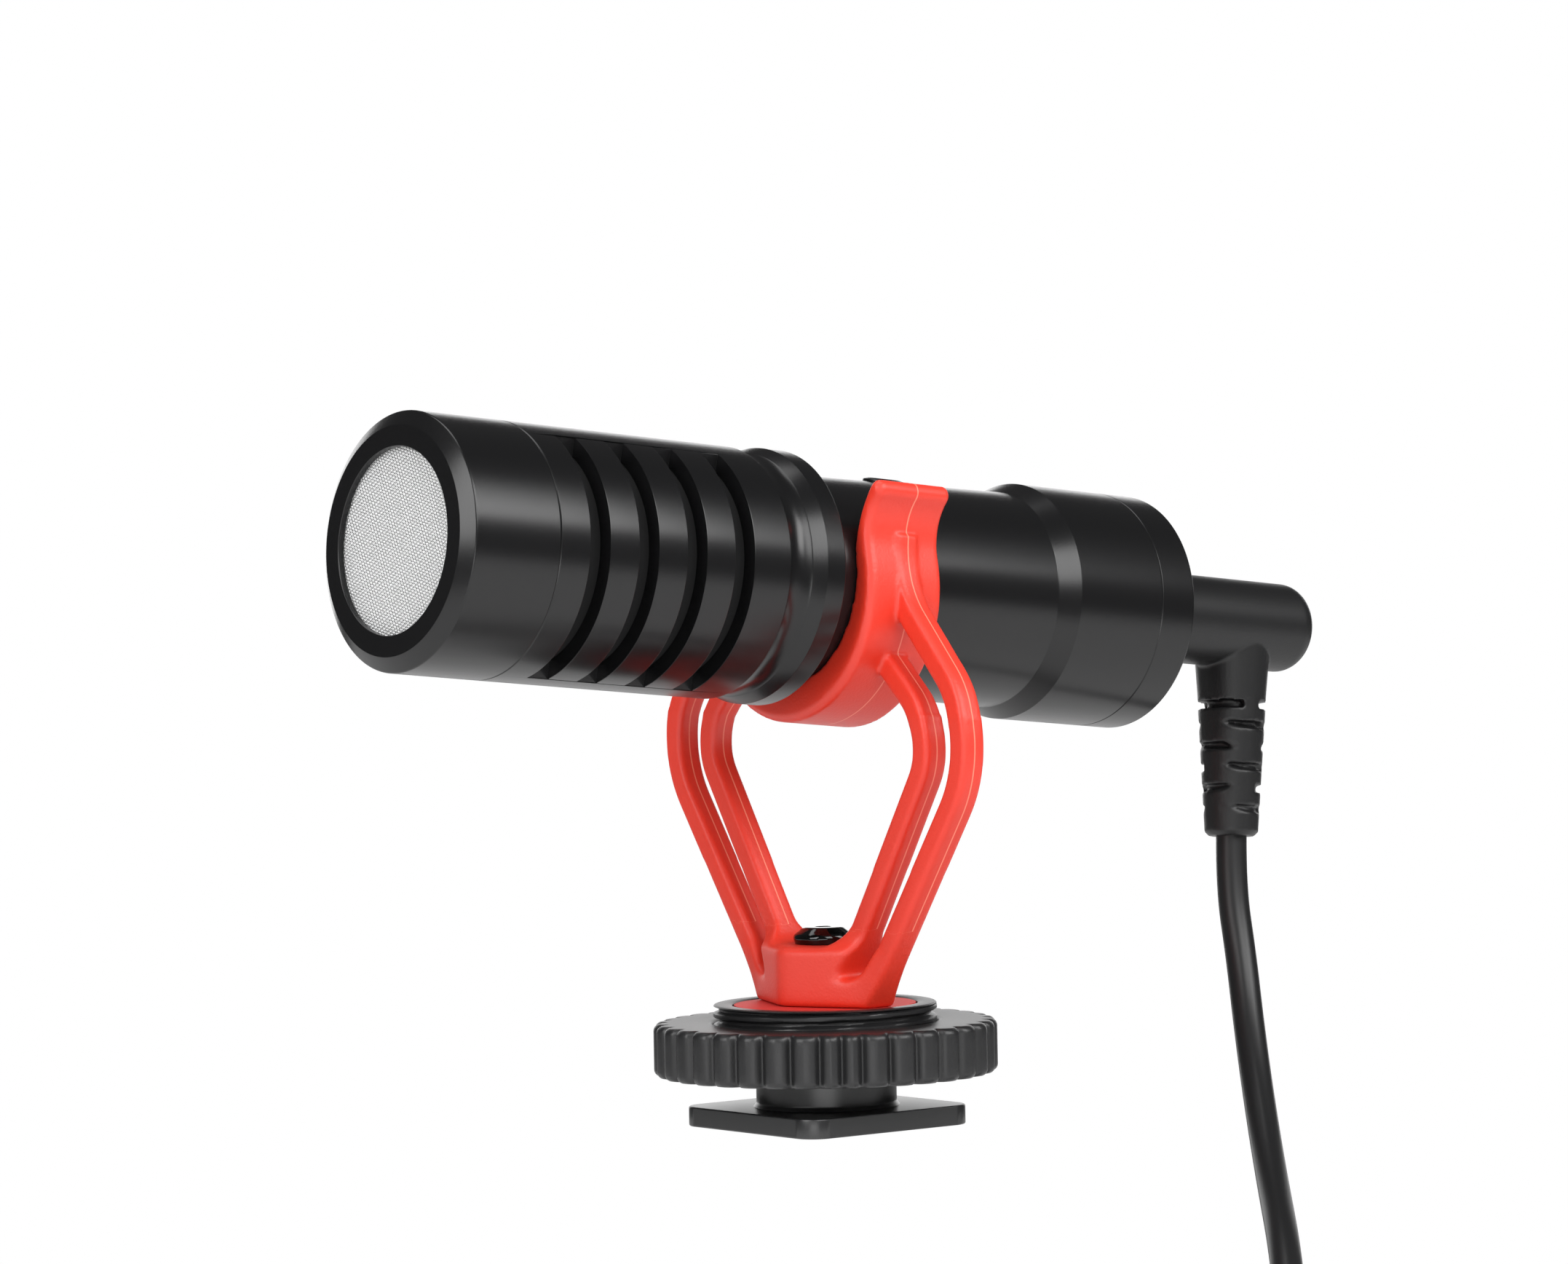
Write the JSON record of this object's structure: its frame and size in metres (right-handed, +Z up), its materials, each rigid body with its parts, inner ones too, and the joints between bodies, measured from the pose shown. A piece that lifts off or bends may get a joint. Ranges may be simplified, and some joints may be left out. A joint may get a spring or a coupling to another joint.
{
  "type": "on camera microphone",
  "caption": "Compact shotgun microphone in a lyre shock mount on a shoe foot with a lock wheel, with a right-angle mini-jack lead.",
  "frame": {"origin": "middle of the underside of the foot", "axes": "+Z up out of the foot, -X the way the microphone points, +Y across"},
  "size_m": [0.1039, 0.0652, 0.1321],
  "materials": {
    "black_plastic": "fine-grained moulded black plastic",
    "red_elastomer": "satin moulded red elastomer",
    "black_steel": "glossy blackened steel",
    "black_aluminium": "bead-blasted and black anodised, satin",
    "steel_mesh": "woven steel mesh",
    "black_foam": "open-cell foam",
    "black_fabric": "thin black cloth",
    "bare_aluminium": "drawn and bare",
    "black_rubber": "matt black soft moulding",
    "green_board": "solder-masked circuit board",
    "socket_plastic": "moulded black plastic",
    "nickel_plate": "nickel-plated brass"
  },
  "bodies": {
    "shoe": {"shoe_foot": "black_plastic", "shoe_pad": "red_elastomer", "mount_screw": "black_steel", "shock_mount_base": "red_elastomer"},
    "lock_wheel": {"lock_wheel": "black_plastic"},
    "cradle": {"shock_mount_cradle": "red_elastomer"},
    "microphone": {"front_cap": "black_aluminium", "front_mesh": "steel_mesh", "mesh_foam": "black_foam", "slotted_barrel": "black_aluminium", "slot_liner": "black_fabric", "capsule_holder": "black_rubber", "microphone_capsule": "bare_aluminium", "capsule_leads": "black_rubber", "body_tube": "black_aluminium", "retaining_screw": "black_aluminium", "rear_cap": "black_aluminium", "circuit_board": "green_board", "jack_socket": "socket_plastic"},
    "lead": {"plug_body": "black_rubber", "plug_sleeve": "nickel_plate", "plug_ring": "nickel_plate", "plug_tip": "nickel_plate", "plug_insulators": "black_plastic", "cable": "black_rubber", "cable_coil": "black_rubber", "cord_tie": "black_plastic", "far_plug_body": "black_rubber", "far_plug_sleeve": "nickel_plate", "far_plug_ring": "nickel_plate", "far_plug_tip": "nickel_plate", "far_plug_insulators": "black_plastic"}
  },
  "joints": [
    {"name": "lock_wheel_turn", "type": "hinge", "parent": "shoe", "child": "lock_wheel", "pos_m": [0, 0, 0.0069], "axis": [0, 0, 1], "range_deg": [-1000, 500]},
    {"name": "mount_sway", "type": "hinge", "parent": "shoe", "child": "cradle", "pos_m": [0, 0, 0.036], "axis": [0, 1, 0], "range_deg": [-17.5, 6.5], "stiffness_Nm_per_rad": 0.022, "springref_deg": -5.53, "deforming": ["shock_mount_base"]},
    {"name": "microphone_roll", "type": "hinge", "parent": "cradle", "child": "microphone", "pos_m": [-0.00246, 0, 0.04806], "axis": [0.9953, 0, -0.0964], "range_deg": [-55, 45]},
    {"name": "plug_pull", "type": "slide", "parent": "microphone", "child": "lead", "axis": [0.9953, 0, -0.0964], "range_m": [0, 0.0155]}
  ]
}
